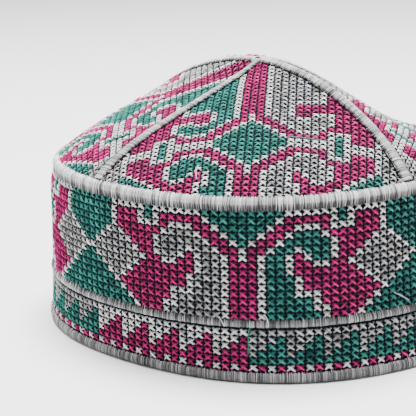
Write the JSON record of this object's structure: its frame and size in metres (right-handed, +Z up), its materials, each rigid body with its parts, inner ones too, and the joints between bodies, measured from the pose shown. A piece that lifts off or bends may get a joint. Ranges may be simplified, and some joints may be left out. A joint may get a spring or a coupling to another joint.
{
  "type": "kufi cap",
  "caption": "Round brimless cap with an upright embroidered wall, a low crown of gores and satin edgings; worn on the head, it also stands on its rim.",
  "frame": {"origin": "middle of the rim, on the plane that the cap stands on", "axes": "+Z up through the crown, -Y towards the front of the cap, +X to the right as seen from the front"},
  "size_m": [0.1874, 0.1836, 0.1073],
  "materials": {
    "stitched_cloth": "matte cross stitch on a near-black cotton ground",
    "satin_edging": "satin stitch with a soft sheen"
  },
  "bodies": {
    "root": {"side_wall": "stitched_cloth", "gore_front": "stitched_cloth", "gore_right": "stitched_cloth", "gore_back": "stitched_cloth", "gore_left": "stitched_cloth", "crown_edge_cord": "satin_edging", "border_cord": "satin_edging", "rim_binding": "satin_edging", "seam_over_tip": "satin_edging", "seam_front_right": "satin_edging", "seam_back_left": "satin_edging"}
  },
  "joints": []
}
